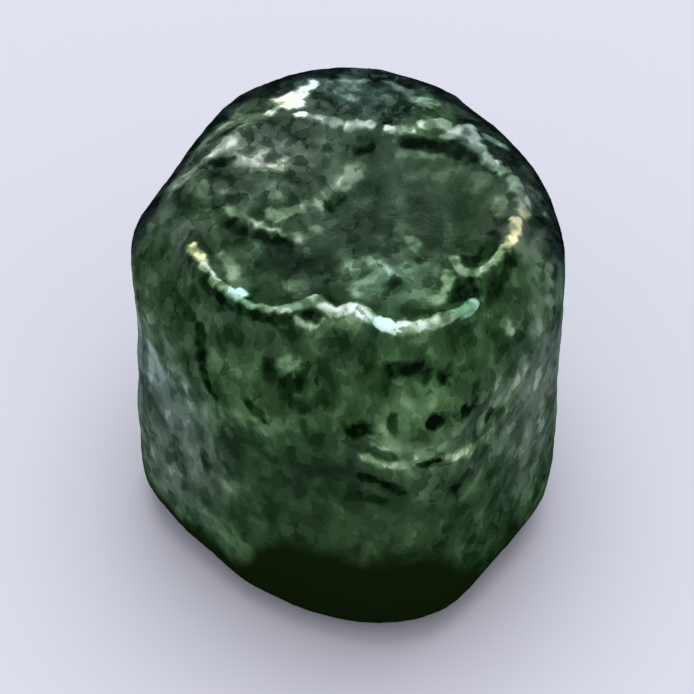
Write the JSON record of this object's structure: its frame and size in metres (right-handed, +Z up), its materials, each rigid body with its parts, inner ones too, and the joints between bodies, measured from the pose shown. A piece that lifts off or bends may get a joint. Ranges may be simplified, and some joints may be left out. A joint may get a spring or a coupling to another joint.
{
  "type": "emerald crystal",
  "caption": "Short six-sided prism of clouded green beryl with worn edges, a ledged top face and a flat foot to stand on.",
  "frame": {"origin": "middle of the crystal's bounding box, on the plane of its flat foot", "axes": "+Z up the prism's axis from the foot to the top face, +X to the right and +Y to the back as seen in the picture"},
  "size_m": [0.0118, 0.012, 0.0122],
  "materials": {
    "beryl": "clear to cloudy dark green stone with a softly worn, finely pitted skin"
  },
  "bodies": {
    "root": {"crystal": "beryl"}
  },
  "joints": []
}
